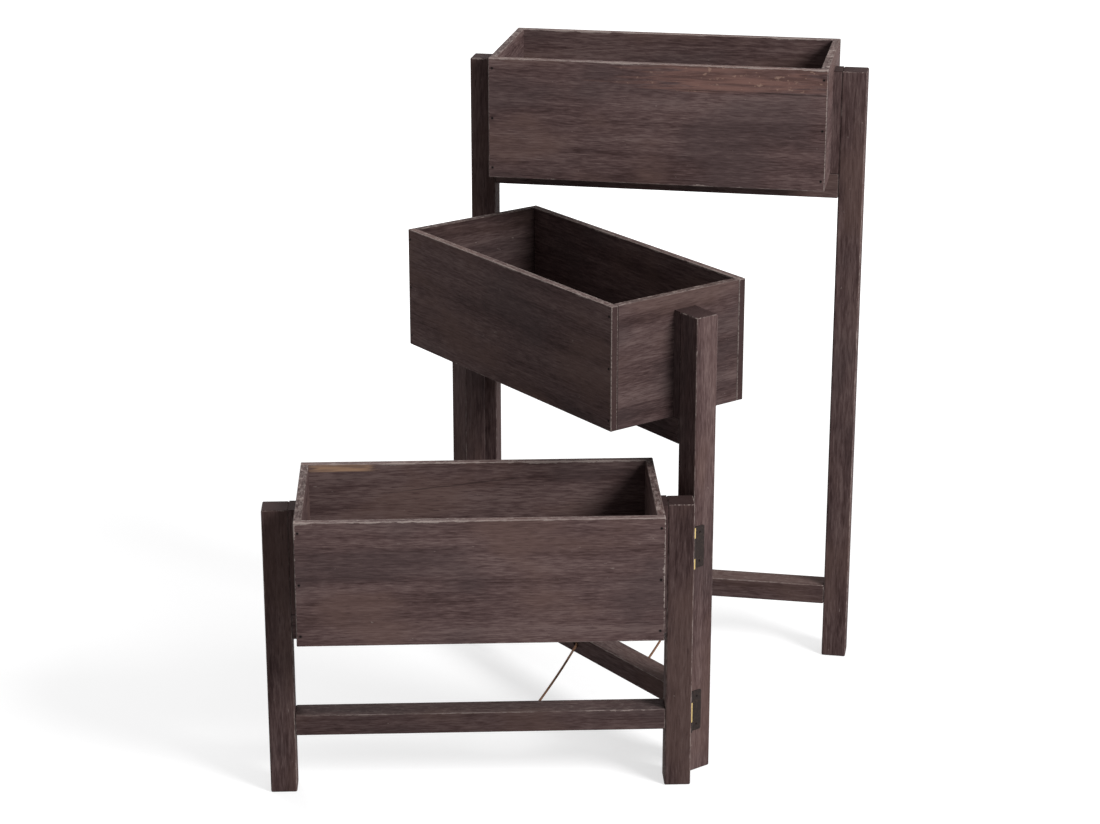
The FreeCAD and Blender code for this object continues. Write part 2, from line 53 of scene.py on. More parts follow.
# How each wooden frame stands in plan, from the hinges that join them
midTurn = math.radians(joints["front_fold"]["range_deg"][0])
tallTurn = midTurn - math.radians(joints["rear_fold"]["range_deg"][0])
frameTurns = {"low": 0.0, "mid": midTurn, "tall": tallTurn}

noiseMiddle = 0.5  # the value that a noise node goes above and below
# Places of a Mix node's factor, its two colours and its colour result among its sockets
mixPlaces = {"factor": 0, "first": 6, "second": 7, "result": 2}


# Shader maths: a wrapped socket, where an expression adds its Math nodes
class Wire:
    def __init__(self, tree, socket):
        self.tree = tree
        self.socket = socket

    def math(self, operation, *others):
        sockets = dict(enumerate((self,) + others))
        return makeNode(self.tree, "ShaderNodeMath", {"operation": operation}, sockets)

    def __add__(self, other):
        return self.math("ADD", other)

    def __radd__(self, other):
        return self.math("ADD", other)

    def __sub__(self, other):
        return self.math("SUBTRACT", other)

    def __rsub__(self, other):
        return self.math("MULTIPLY", -1.0).math("ADD", other)

    def __mul__(self, other):
        return self.math("MULTIPLY", other)

    def __rmul__(self, other):
        return self.math("MULTIPLY", other)

    def __abs__(self):
        return self.math("ABSOLUTE")

    def atLeast(self, other):
        return self.math("MAXIMUM", other)

    def atMost(self, other):
        return self.math("MINIMUM", other)

    # 0 below the low value, 1 above the high one, and smooth between
    def rise(self, low, high):
        ends = {"From Min": low, "From Max": high, "To Min": 0.0, "To Max": 1.0}
        settings = {"interpolation_type": "SMOOTHSTEP"}
        return makeNode(self.tree, "ShaderNodeMapRange", settings, {"Value": self, **ends})

    # 1 below the low value, and 0 above the high one
    def fall(self, low, high):
        return 1 - self.rise(low, high)

    # A rise that ends at a share
    def mark(self, low, high, share):
        return self.rise(low, high) * share

    # A noise about its middle, made as wide as a reach
    def sway(self, reach):
        return (self - noiseMiddle) * reach

    # A mask that starts from a least value in place of 0
    def above(self, least):
        return least + (1 - least) * self


# Any other node: its settings first, then the values or links of its sockets
def makeNode(tree, kind, settings, sockets, out=0):
    node = tree.nodes.new(kind)
    for name, value in settings.items():
        if name == "stops":
            for spare in range(len(value) - len(node.color_ramp.elements)):
                node.color_ramp.elements.new(1.0)
            for element, (position, colour) in zip(node.color_ramp.elements, value):
                element.position = position
                element.color = (*colour, 1.0)
        else:
            setattr(node, name, value)
    for name, value in sockets.items():
        if isinstance(value, Wire):
            tree.links.new(value.socket, node.inputs[name])
        else:
            node.inputs[name].default_value = value
    return Wire(tree, node.outputs[out]) if node.outputs else None  # an output node has none


def mixColour(factor, first, second):
    first, second = (c if isinstance(c, Wire) else (*c, 1.0) for c in (first, second))
    sockets = {mixPlaces["factor"]: factor, mixPlaces["first"]: first, mixPlaces["second"]: second}
    return makeNode(factor.tree, "ShaderNodeMix", {"data_type": "RGBA"}, sockets, mixPlaces["result"])


def newMaterial(name):
    material = bpy.data.materials.new(name)
    material.use_nodes = True
    material.node_tree.nodes.clear()
    return material, material.node_tree


def objectPlace(tree):
    return makeNode(tree, "ShaderNodeTexCoord", {}, {}, "Object")


def surface(tree, sockets):
    shader = makeNode(tree, "ShaderNodeBsdfPrincipled", {}, sockets)
    makeNode(tree, "ShaderNodeOutputMaterial", {}, {"Surface": shader})


def bumped(height, strength, distance):
    sockets = {"Height": height, "Strength": strength, "Distance": distance}
    return makeNode(height.tree, "ShaderNodeBump", {}, sockets)


# Noise on stretched coordinates, moved by the piece's own seed so that no two boards match
def grainNoise(where, stretch, seed, detail, roughness):
    sockets = {"Vector": where, "Location": seed, "Scale": stretch}
    moved = makeNode(where.tree, "ShaderNodeMapping", {}, sockets)
    sockets = {"Vector": moved, "Scale": 1.0, "Detail": detail, "Roughness": roughness}
    return makeNode(where.tree, "ShaderNodeTexNoise", {}, sockets)


# Noises or masks added up, each by its share
def blended(parts, shares):
    return sum((share * parts[name] for name, share in shares.items()), 0.0)


def dress(node, material):
    nodes[node].data.materials.clear()
    nodes[node].data.materials.append(material)


def meshObject(name, form):
    mesh = bpy.data.meshes.new(name)
    form.to_mesh(mesh)
    form.free()
    made = bpy.data.objects.new(name, mesh)
    bpy.context.scene.collection.objects.link(made)
    return made


# Stained wood. Grain coordinates run along x, with the piece's middle at the origin.
stain = {
    "dark": (0.048, 0.028, 0.027),
    "mid": (0.096, 0.0605, 0.0585),
    "light": (0.154, 0.106, 0.100),
    "warm": (0.132, 0.082, 0.071),
    "cool": (0.060, 0.044, 0.045),
    "bareEdge": (0.31, 0.255, 0.235),
    # Near black: the dark of a split, and round nails their iron stain with painted shade of their holes
    "iron": (0.012, 0.009, 0.009),
    "cutEnd": (0.032, 0.019, 0.0185),
    "specular": 0.04,
    "roughness": 0.62,
    "streakRoughness": 0.16,
    "wornSmoothing": 0.06,
    "draws": 11,  # seed of all random choices here
    "seedReach": 40.0,
    "shadeSpread": (0.93, 1.07),
    # Each noise: its stretch along and across the grain per metre, detail, roughness
    "noises": {
        "figure": ((3.5, 52.0, 52.0), 4.0, 0.5),
        "streaks": ((10.0, 190.0, 190.0), 4.0, 0.6),
        "fibres": ((60.0, 560.0, 560.0), 6.0, 0.62),
        "pores": ((55.0, 760.0, 760.0), 2.0, 0.5),
        "blotches": ((7.0, 15.0, 15.0), 3.0, 0.5),
        "flecks": ((120.0, 230.0, 230.0), 3.0, 0.6),
        "chips": ((90.0, 380.0, 380.0), 5.0, 0.75),
        "wearAreas": ((11.0, 14.0, 14.0), 3.0, 0.55),
        "mottles": ((75.0, 60.0, 60.0), 4.0, 0.6),
    },
    "toneShares": {"fibres": 0.48, "streaks": 0.20, "figure": 0.32},
    "toneStops": {"dark": 0.40, "mid": 0.50, "light": 0.60},
    # Marks: the noise at which they begin, the noise at which they are full, and how strong they are
    "warmMarks": (0.50, 0.66, 0.5),
    "coolMarks": (0.50, 0.66, 0.4),
    "fleckMarks": (0.71, 0.77, 0.4),
    "poreRise": (0.60, 0.70),
    "poreDepth": 0.6,
    "nailFall": (0.0008, 0.0026),  # metres from a nail's middle
    "nailDepth": 0.7,
    "relief": {"fibres": 0.5, "streaks": 0.4, "pores": -0.4},
    "bumpStrength": 0.35,
    "bumpDistance": 0.0005,
}
# Its wear, in metres from an edge, a top or a cut end, apart from the strengths and noise limits
wear = {
    "chipSway": 0.008,
    "areaSway": 0.012,
    "chipSoft": 0.0006,
    "rimFrom": 0.006,
    "rimTo": 0.001,
    "rimReach": 0.0012,
    "rubSway": 0.0036,
    "rubFall": (0.0003, 0.0012),
    "rubLeast": 0.35,
    "areaRise": (0.40, 0.56),
    "bareness": 0.72,
    "topFrom": 0.0006,
    "topTo": 0.0001,
    "scuffLeast": 0.02,
    "scuffChips": (0.44, 0.62, 0.30),
    "scuffFlecks": (0.53, 0.62, 0.35),
    "mottleFall": (0.46, 0.60),
    "mottleMarks": (0.57, 0.65, 0.35),
    "endFall": (0.0006, 0.0012),
    "endDepth": 0.8,
}
# Where the stain is thin: the lighter red strip high on the tall box, and a bare strip inside the low one
strip = {
    "frontSoft": 0.001,
    "streakRise": (0.40, 0.60),
    "streakLeast": 0.35,
    "flakeRise": (0.61, 0.70),
    "splitSway": 0.006,
    "splitFall": (0.0003, 0.0009),
    "splitReach": (0.09, 0.13),
}
# Each strip's place, size and ragged edges are given along the board and up it
thinStain = {
    "tall_box_front": {
        "middle": (0.092, 0.056), "half": (0.100, 0.013), "soft": (0.020, 0.003), "ragged": (0.40, 0.04),
        "colour": (0.190, 0.104, 0.088), "strength": 0.85,
        "flake": (0.33, 0.215, 0.165), "flaked": 0.5,
        "split": 0.0425, "splitSlope": 0.0, "splitFrom": 0.10, "splitDepth": 0.7,
    },
    "low_box_back": {
        "middle": (-0.155, 0.0672), "half": (0.036, 0.0055), "soft": (0.006, 0.001), "ragged": (0.10, 0.010),
        "colour": (0.36, 0.225, 0.145), "strength": 1.0,
        "flake": (0.42, 0.31, 0.22), "flaked": 0.3,
        "split": 0.0475, "splitSlope": 0.094, "splitFrom": -0.02, "splitDepth": 0.45,
    },
}
# Each kind: its shade, how far its chips reach, how rubbed its edges are, how worn and mottled its rim is,
# and where its nails are
plainWood = {"shade": 0.80, "edgeWear": -0.0030, "rubbed": 0.0, "rimWear": 0.0, "mottled": 0.0,
             "nailInset": 0.0}
longBoard = {"shade": 1.0, "edgeWear": -0.0003, "rubbed": 0.9, "rimWear": 1.0, "mottled": 0.0,
             "nailInset": 0.0045, "nailDrop": 0.012}
endBoard = {"shade": 0.96, "edgeWear": -0.0022, "rubbed": 0.15, "rimWear": 1.0, "mottled": 0.62,
            "nailInset": 0.0}
woodKinds = {
    "_post": {**plainWood, "edgeWear": -0.0008, "rubbed": 0.95},
    "_cleats": plainWood,
    "_stretcher": {**plainWood, "edgeWear": -0.0014, "rubbed": 1.0, "rimWear": 0.3},
    "_box_support": {**plainWood, "edgeWear": -0.0020, "rubbed": 0.3},
    "_box_front": longBoard,
    "_box_back": longBoard,
    "_end": endBoard,
    "_box_floor": {**plainWood, "shade": 0.85},
    "_dowels": plainWood,
}
# Pieces with their own tone, part stain and part painted light: darker as painted shade on the mid box's two
# end boards and the low right post, lighter as painted light on the mid right post
tonesWithPaintedShade = {
    "low_right_post": 0.68,
    "mid_right_post": 0.84,
    "mid_box_left_end": 0.62,
    "mid_box_right_end": 0.66,
}


# A piece's middle, and half its size along, across and up its grain coordinates
def placeOf(node, turn):
    turned = turn.to_matrix()
    back = turned.transposed()
    points = [back @ vertex.co for vertex in nodes[node].data.vertices]
    low = Vector([min(point[k] for point in points) for k in range(3)])
    high = Vector([max(point[k] for point in points) for k in range(3)])
    return turned @ ((low + high) / 2), (high - low) / 2


# A strip of thin stain on a board's front half, with a split that runs beside it
def thinned(colour, place, noise, wornAreas, patch):
    x, y, z = place
    facing = y.fall(-strip["frontSoft"], strip["frontSoft"])
    inside = facing
    for k, way, ragged in ((0, x, "streaks"), (1, z, "figure")):
        beyond = abs(way - patch["middle"][k]) - patch["half"][k] + noise[ragged].sway(patch["ragged"][k])
        inside = inside * beyond.fall(-patch["soft"][k], patch["soft"][k])
    streaky = noise["streaks"].rise(*strip["streakRise"]).above(strip["streakLeast"])
    colour = mixColour(inside * streaky * patch["strength"], colour, patch["colour"])
    flaked = inside * noise["flecks"].rise(*strip["flakeRise"]) * patch["flaked"]
    colour = mixColour(flaked, colour, patch["flake"])
    split = z - patch["splitSlope"] * x - patch["split"] + noise["figure"].sway(strip["splitSway"])
    cracked = abs(split).fall(*strip["splitFall"]) * abs(x - patch["splitFrom"]).fall(*strip["splitReach"])
    return mixColour(cracked * wornAreas * facing * patch["splitDepth"], colour, stain["iron"])


# Iron stain and painted shade of the sunk holes round the three nails at each end of a long board
def nailStained(colour, x, z, half, look):
    across = abs(abs(x) - (half.x - look["nailInset"]))
    upright = abs(z).atMost(abs(abs(z) - (half.z - look["nailDrop"])))
    around = (across * across + upright * upright).math("SQRT")
    return mixColour(around.fall(*stain["nailFall"]) * stain["nailDepth"], colour, stain["iron"])


def stainedWood(node, turn, chance, look, patch):
    middle, half = placeOf(node, turn)
    material, tree = newMaterial(node + "_stain")
    sockets = {"Vector": objectPlace(tree), "Location": middle, "Rotation": turn}
    where = makeNode(tree, "ShaderNodeMapping", {"vector_type": "TEXTURE"}, sockets)
    x, y, z = (makeNode(tree, "ShaderNodeSeparateXYZ", {}, {"Vector": where}, k) for k in range(3))
    reach = stain["seedReach"]
    seed = Vector([chance.uniform(-reach, reach) for k in range(3)])
    # A few pieces take their own tone, part painted shade and light, in place of their kind's shade
    shade = tonesWithPaintedShade.get(node, look["shade"]) * chance.uniform(*stain["shadeSpread"])
    tint = {name: Vector(stain[name]) * shade for name in ("dark", "mid", "light", "warm", "cool")}
    noise = {name: grainNoise(where, stretch, seed, detail, roughness)
             for name, (stretch, detail, roughness) in stain["noises"].items()}

    tone = blended(noise, stain["toneShares"])
    stops = [(stop, tint[name]) for name, stop in stain["toneStops"].items()]
    colour = makeNode(tree, "ShaderNodeValToRGB", {"stops": stops}, {"Fac": tone})
    colour = mixColour(noise["blotches"].mark(*stain["warmMarks"]), colour, tint["warm"])
    colour = mixColour((1 - noise["blotches"]).mark(*stain["coolMarks"]), colour, tint["cool"])
    pores = noise["pores"].rise(*stain["poreRise"])
    colour = mixColour(pores * stain["poreDepth"], colour, tint["dark"])
    colour = mixColour(noise["flecks"].mark(*stain["fleckMarks"]), colour, stain["bareEdge"])

    # Second smallest distance to the piece's faces is the distance to its nearest edge
    toFaces = [half[k] - abs(way) for k, way in enumerate((x, y, z))]
    nearest = toFaces[0].atMost(toFaces[1])
    farther = toFaces[0].atLeast(toFaces[1])
    toEdge = nearest.atLeast(farther.atMost(toFaces[2]))

    # Chips knocked out of the edges, most of them at a rim, and edges rubbed thin
    rim = z.rise(half.z - wear["rimFrom"], half.z - wear["rimTo"]) * look["rimWear"]
    chips = toEdge + noise["chips"].sway(wear["chipSway"]) + noise["wearAreas"].sway(wear["areaSway"])
    chips = chips - wear["rimReach"] * rim
    chipped = chips.fall(look["edgeWear"] - wear["chipSoft"], look["edgeWear"])
    wornAreas = noise["wearAreas"].rise(*wear["areaRise"])
    ragged = toEdge + noise["chips"].sway(wear["rubSway"])
    rubbed = ragged.fall(*wear["rubFall"]) * wornAreas.above(wear["rubLeast"])
    worn = chipped.atLeast(rubbed * look["rubbed"])

    # Scuffs and mottles on top of a rim, and dark end grain where the piece is cut
    rimTop = z.rise(half.z - wear["topFrom"], half.z - wear["topTo"]) * look["rimWear"]
    scuffed = noise["chips"].mark(*wear["scuffChips"]) + noise["flecks"].mark(*wear["scuffFlecks"])
    if look["mottled"]:
        dulled = noise["mottles"].fall(*wear["mottleFall"]) * look["mottled"]
        colour = mixColour(rimTop * dulled, colour, stain["cutEnd"])
        scuffed = scuffed + noise["mottles"].mark(*wear["mottleMarks"])
    colour = mixColour(rimTop * (wear["scuffLeast"] + scuffed), colour, stain["bareEdge"])
    cutEnd = toFaces[0].fall(*wear["endFall"])
    colour = mixColour(cutEnd * wear["endDepth"], colour, stain["cutEnd"])

    if patch:
        colour = thinned(colour, (x, y, z), noise, wornAreas, patch)
    colour = mixColour(worn * wear["bareness"], colour, stain["bareEdge"])
    # Dark rings round the nails: iron stain and painted shade of their sunk holes
    if look["nailInset"]:
        colour = nailStained(colour, x, z, half, look)

    grainRoughness = stain["roughness"] + stain["streakRoughness"] * noise["streaks"]
    relief = blended({**noise, "pores": pores}, stain["relief"])
    surface(tree, {
        "Base Color": colour,
        "Roughness": grainRoughness - stain["wornSmoothing"] * worn,
        "Specular IOR Level": stain["specular"],
        "Normal": bumped(relief, stain["bumpStrength"], stain["bumpDistance"]),
    })
    return material


# Local x lies along the grain: up a post, along a rail or a long board, across for an end board
def grainTurn(node):
    turn = frameTurns[node.split("_")[0]]
    if node.endswith(("_post", "_cleats")):
        return Euler((0.0, -math.pi / 2, turn))
    if node.endswith("_end"):
        return Euler((0.0, 0.0, turn + math.pi / 2))
    return Euler((0.0, 0.0, turn))


chance = random.Random(stain["draws"])
for name in sorted(nodes):
    kind = next((k for k in woodKinds if name.endswith(k)), None)
    if kind:
        dress(name, stainedWood(name, grainTurn(name), chance, woodKinds[kind], thinStain.get(name)))
print("wood stained")


# Metals, each with the ends of the names of its nodes. The first that fits is taken.
metals = {
    "brass": {
        "colour": (0.62, 0.46, 0.19), "dull": (0.50, 0.36, 0.15),
        "roughness": 0.34, "metallic": 1.0, "specular": 0.5,
        "ends": ("low_leaf", "tall_leaf", "low_hinge_screws", "tall_hinge_screws"),
    },
    "stainedMetal": {
        "colour": (0.018, 0.012, 0.011), "dull": (0.034, 0.023, 0.019),
        "roughness": 0.55, "metallic": 0.1, "specular": 0.15,
        "ends": ("mid_leaf", "mid_hinge_screws"),
    },
    "darkSteel": {
        "colour": (0.020, 0.016, 0.014), "dull": (0.060, 0.050, 0.045),
        "roughness": 0.5, "metallic": 0.8, "specular": 0.3,
        "ends": ("_pin", "_screws"),
    },
    # Nail heads nearly black: their own dark finish, and painted shade of the holes they are sunk in
    "blackNail": {
        "colour": (0.006, 0.005, 0.005), "dull": (0.014, 0.011, 0.010),
        "roughness": 0.7, "metallic": 0.0, "specular": 0.05,
        "ends": ("_nails",),
    },
}
# How they all age. Each noise: its stretch per metre, seed, detail, roughness
ageing = {
    "tarnish": ((420.0, 420.0, 420.0), (3.0, 1.0, 2.0), 4.0, 0.6),
    "brushed": ((2600.0, 2600.0, 300.0), (1.0, 5.0, 2.0), 2.0, 0.5),
    "dullRise": (0.46, 0.70),
    "tarnishRoughness": 0.25,
    "brushedRoughness": 0.12,
    "relief": {"tarnish": 0.7, "brushed": 0.3},
    "bumpStrength": 0.12,
    "bumpDistance": 0.0002,
}


def agedMetal(name, look):
    material, tree = newMaterial(name)
    place = objectPlace(tree)
    noise = {label: grainNoise(place, *ageing[label]) for label in ("tarnish", "brushed")}
    tarnished = noise["tarnish"].sway(ageing["tarnishRoughness"])
    brushed = noise["brushed"].sway(ageing["brushedRoughness"])
    relief = blended(noise, ageing["relief"])
    surface(tree, {
        "Base Color": mixColour(noise["tarnish"].rise(*ageing["dullRise"]), look["colour"], look["dull"]),
        "Metallic": look["metallic"],
        "Specular IOR Level": look["specular"],
        "Roughness": look["roughness"] + tarnished + brushed,
        "Normal": bumped(relief, ageing["bumpStrength"], ageing["bumpDistance"]),
    })
    return material


finishes = {name: agedMetal(name, look) for name, look in metals.items()}


def metalFor(node):
    return next((finishes[name] for name, look in metals.items() if node.endswith(look["ends"])), None)


for name in sorted(nodes):
    if metalFor(name):
        dress(name, metalFor(name))
print("metals aged")


# Screws: each plain solid of a CAD group gives the place of a screw with a cross recess in its head
screws = {
    "armReach": 0.60,  # shares of the head's radius, down to the tip
    "armHalfWidth": 0.16,
    "recessDepth": 0.45,
    "tipWidth": 0.2,
    "tipLength": 0.8,
    "recessTaper": 0.5,  # the cross at its bottom, as a share of its top
    "hingeShank": 0.0015,  # radius in metres
    "boxShank": 0.0020,
    "mergeReach": 1e-5,
}


def solidsOf(node):
    form = bmesh.new()
    form.from_mesh(nodes[node].data)
    bmesh.ops.remove_doubles(form, verts=form.verts, dist=screws["mergeReach"])
    solids = []
    seen = set()
    for start in form.verts:
        if start in seen:
            continue
        seen.add(start)
        joined = [start]
        for here in joined:  # the list grows while it is read
            near = [edge.other_vert(here) for edge in here.link_edges]
            fresh = [vert for vert in near if vert not in seen]
            seen.update(fresh)
            joined += fresh
        solids.append([vert.co.copy() for vert in joined])
    form.free()
    return solids


# Where a screw's head is, which way it faces, its radius and the screw's length
def screwPlace(points, turn):
    along = Vector((math.cos(turn), math.sin(turn), 0.0))
    ways = (along, Vector((-along.y, along.x, 0.0)), Vector((0.0, 0.0, 1.0)))
    spans = [(min(way.dot(p) for p in points), max(way.dot(p) for p in points)) for way in ways]
    centre = sum((way * (low + high) / 2 for way, (low, high) in zip(ways, spans)), Vector())
    length = spans[0][1] - spans[0][0]
    widest = max(points, key=lambda p: (p - centre).cross(along).length)
    outward = along if along.dot(widest - centre) > 0 else -along
    return centre + outward * length / 2, outward, (spans[2][1] - spans[2][0]) / 2, length


def openEdges(verts):
    edges = dict.fromkeys(edge for vert in verts for edge in vert.link_edges)
    return [edge for edge in edges if edge.is_boundary]


def onlyKind(parts, kind):
    return [part for part in parts if isinstance(part, kind)]


# Made with a radius of 1, facing up, and then put in its place
def addScrew(form, place, shank, spin):
    head, outward, radius, length = place
    before = len(form.verts)
    cells = 5
    bmesh.ops.create_grid(form, x_segments=cells, y_segments=cells, size=1.0)
    form.verts.ensure_lookup_table()
    top = form.verts[before:]
    lines = {1: screws["armHalfWidth"], 3: screws["armReach"], 5: 1.0}  # by their place in fifths
    for vert in top:
        for k in (0, 1):
            vert.co[k] = math.copysign(lines[round(abs(vert.co[k]) * cells)], vert.co[k])

    # Five middle faces are the recess, and the outer edges become the head's round rim
    faces = dict.fromkeys(face for vert in top for face in vert.link_faces)
    middles = {face: face.calc_center_median() for face in faces}
    cross = [face for face, at in middles.items() if max(abs(at.x), abs(at.y)) < screws["armReach"]
             and min(abs(at.x), abs(at.y)) < screws["armHalfWidth"] / 2]
    bmesh.ops.subdivide_edges(form, edges=openEdges(top), cuts=1)
    form.verts.ensure_lookup_table()
    rim = openEdges(form.verts[before:])
    for vert in {vert for edge in rim for vert in edge.verts}:
        vert.co = vert.co.normalized()
    sunk = bmesh.ops.extrude_face_region(form, geom=cross)["geom"]
    taper = screws["recessTaper"]
    for vert in onlyKind(sunk, bmesh.types.BMVert):
        vert.co = Vector((vert.co.x * taper, vert.co.y * taper, -screws["recessDepth"]))
    left = [face for face in cross if face.is_valid]
    bmesh.ops.delete(form, geom=left, context="FACES_ONLY")

    # Cone under the head, shank, and tip
    share = shank / radius
    reach = length / radius
    rings = [(share, 1 - share), (share, reach - screws["tipLength"]), (screws["tipWidth"], reach)]
    for width, depth in rings:
        grown = bmesh.ops.extrude_edge_only(form, edges=rim)["geom"]
        rim = onlyKind(grown, bmesh.types.BMEdge)
        for vert in onlyKind(grown, bmesh.types.BMVert):
            flat = Vector((vert.co.x, vert.co.y, 0.0)).normalized() * width
            vert.co = flat - Vector((0.0, 0.0, depth))
    bmesh.ops.holes_fill(form, edges=rim, sides=0)
    form.verts.ensure_lookup_table()
    facing = outward.to_track_quat("Z", "Y").to_matrix().to_4x4()
    matrix = Matrix.Translation(head) @ facing @ Matrix.Rotation(spin, 4, "Z") @ Matrix.Scale(radius, 4)
    bmesh.ops.transform(form, matrix=matrix, verts=form.verts[before:])


def makeScrews(node):
    frameName, use = node.split("_")[:2]
    form = bmesh.new()
    for points in solidsOf(node):
        place = screwPlace(points, frameTurns[frameName])
        addScrew(form, place, screws[use + "Shank"], chance.uniform(0, math.pi))
    bmesh.ops.recalc_face_normals(form, faces=form.faces)
    piece = meshObject(node + "_recessed", form)
    piece.data.materials.append(metalFor(node))
    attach(piece, frameName + "_frame")
    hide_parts(node)


for frameName in frameTurns:
    makeScrews(frameName + "_hinge_screws")
    makeScrews(frameName + "_box_screws")
print("screws recessed")


# Twine: three strands laid round the route between two stretchers, with a knot in each end's hole
twine = {
    "diameter": 0.003,
    "strands": 3,
    "strandRadius": 0.00078,
    "strandOffset": 0.00072,
    "lay": 0.010,
    "stepsPerTurn": 12,
    "routeSteps": 16,
    "roundSteps": 3,
    "knotTurns": 2.0,
    "knotLength": 0.0030,
    "knotRadius": 0.0019,
    "knotSteps": 48,
    "colour": (0.135, 0.062, 0.036),
    "pale": (0.29, 0.165, 0.10),
    # Each noise: its stretch per metre, seed, detail, roughness
    "fibre": ((900.0, 900.0, 2600.0), (2.0, 7.0, 1.0), 4.0, 0.7),
    "patches": ((60.0, 60.0, 60.0), (5.0, 1.0, 3.0), 3.0, 0.5),
    "fibreMarks": (0.35, 0.70, 0.7),
    "patchMarks": (0.40, 0.65, 0.3),
    "roughness": 0.82,
    "fibreRoughness": 0.12,
    "specular": 0.2,
    "bumpStrength": 0.5,
    "bumpDistance": 0.0003,
}
# Each twine, in metres: its ends, how far it hangs at shares of its way,
# and how long each end is in its hole
twineRoutes = {
    "front_twine": {
        "start": (-0.058448, -0.199905, 0.0835), "end": (0.003844, -0.009402, 0.0835),
        "droops": [(0.19, 0.0014), (0.42, 0.0026), (0.63, 0.0028), (0.82, 0.0017)],
        "startRun": 0.00453, "endRun": 0.00545,
        "moving": "low_frame", "joint": "front_fold", "movingEnd": "start",
    },
    "rear_twine": {
        "start": (0.078935, -0.078165, 0.0835), "end": (0.153824, 0.167147, 0.0835),
        "droops": [(0.18, 0.0046), (0.40, 0.0082), (0.62, 0.0084), (0.83, 0.0049)],
        "startRun": 0.00553, "endRun": 0.00432,
        "moving": "tall_frame", "joint": "rear_fold", "movingEnd": "end",
    },
}


def twineFibre():
    material, tree = newMaterial("twineFibre")
    place = objectPlace(tree)
    fibre = grainNoise(place, *twine["fibre"])
    patches = grainNoise(place, *twine["patches"])
    tone = fibre.mark(*twine["fibreMarks"]) + patches.mark(*twine["patchMarks"])
    surface(tree, {
        "Base Color": mixColour(tone, twine["colour"], twine["pale"]),
        "Roughness": twine["roughness"] + twine["fibreRoughness"] * fibre,
        "Specular IOR Level": twine["specular"],
        "Normal": bumped(fibre, twine["bumpStrength"], twine["bumpDistance"]),
    })
    return material


fibreFinish = twineFibre()


def splineObject(name, kind, lines, bevel):
    data = bpy.data.curves.new(name, "CURVE")
    data.dimensions = "3D"
    data.resolution_u = twine["routeSteps"]
    data.bevel_depth = bevel
    data.bevel_resolution = twine["roundSteps"]
    data.use_fill_caps = bevel > 0
    for points in lines:
        spline = data.splines.new(kind)
        spline.points.add(len(points) - 1)
        for knot, place in zip(spline.points, points):
            knot.co = (*place, 1.0)
        if kind == "NURBS":
            spline.order_u = 3
            spline.use_endpoint_u = True
    made = bpy.data.objects.new(name, data)
    bpy.context.scene.collection.objects.link(made)
    bpy.context.view_layer.update()
    return made


def toMesh(made, name, material):
    shown = made.evaluated_get(bpy.context.evaluated_depsgraph_get())
    mesh = bpy.data.meshes.new_from_object(shown)
    mesh.name = name
    curve = made.data
    bpy.data.objects.remove(made)
    bpy.data.curves.remove(curve)
    piece = bpy.data.objects.new(name, mesh)
    bpy.context.scene.collection.objects.link(piece)
    mesh.materials.clear()
    mesh.materials.append(material)
    for face in mesh.polygons:
        face.use_smooth = True
    return piece


# The route's own smooth line, as points
def smoothLine(route):
    start, end = Vector(route["start"]), Vector(route["end"])
    points = [start]
    points += [start.lerp(end, share) - Vector((0, 0, droop)) for share, droop in route["droops"]]
    points.append(end)
    line = toMesh(splineObject("routeLine", "NURBS", [points], 0.0), "routeLine", fibreFinish)
    found = [vertex.co.copy() for vertex in line.data.vertices]
    bpy.data.objects.remove(line)
    return found


# Points of a line between two distances along it, about one step apart
def sampled(line, begin, end, step):
    marks = [0.0]
    for here, ahead in zip(line, line[1:]):
        marks.append(marks[-1] + (ahead - here).length)
    count = max(1, round((end - begin) / step))
    spaced = []
    for k in range(count + 1):
        along = begin + (end - begin) * k / count
        after = next((n for n, mark in enumerate(marks) if mark > along), len(marks) - 1)
        share = (along - marks[after - 1]) / (marks[after] - marks[after - 1])
        spaced.append(line[after - 1].lerp(line[after], share))
    return spaced


# A line wound round another one, a full turn for each lay
def coiled(points, radius, lay, phase):
    turned = []
    travelled = 0.0
    for count, here in enumerate(points):
        ahead = points[min(count + 1, len(points) - 1)] - points[max(count - 1, 0)]
        side = ahead.cross(Vector((0, 0, 1))).normalized()
        over = side.cross(ahead).normalized()
        if count:
            travelled += (here - points[count - 1]).length
        angle = phase + math.tau * travelled / lay
        turned.append(here + radius * (math.cos(angle) * side + math.sin(angle) * over))
    return turned


# The strands over one stretch, turned as far as the stretch is along the twine
def laidStrands(line, begin, end):
    spaced = sampled(line, begin, end, twine["lay"] / twine["stepsPerTurn"])
    turned = math.tau * begin / twine["lay"]
    phases = [turned + math.tau * k / twine["strands"] for k in range(twine["strands"])]
    return [coiled(spaced, twine["strandOffset"], twine["lay"], phase) for phase in phases]


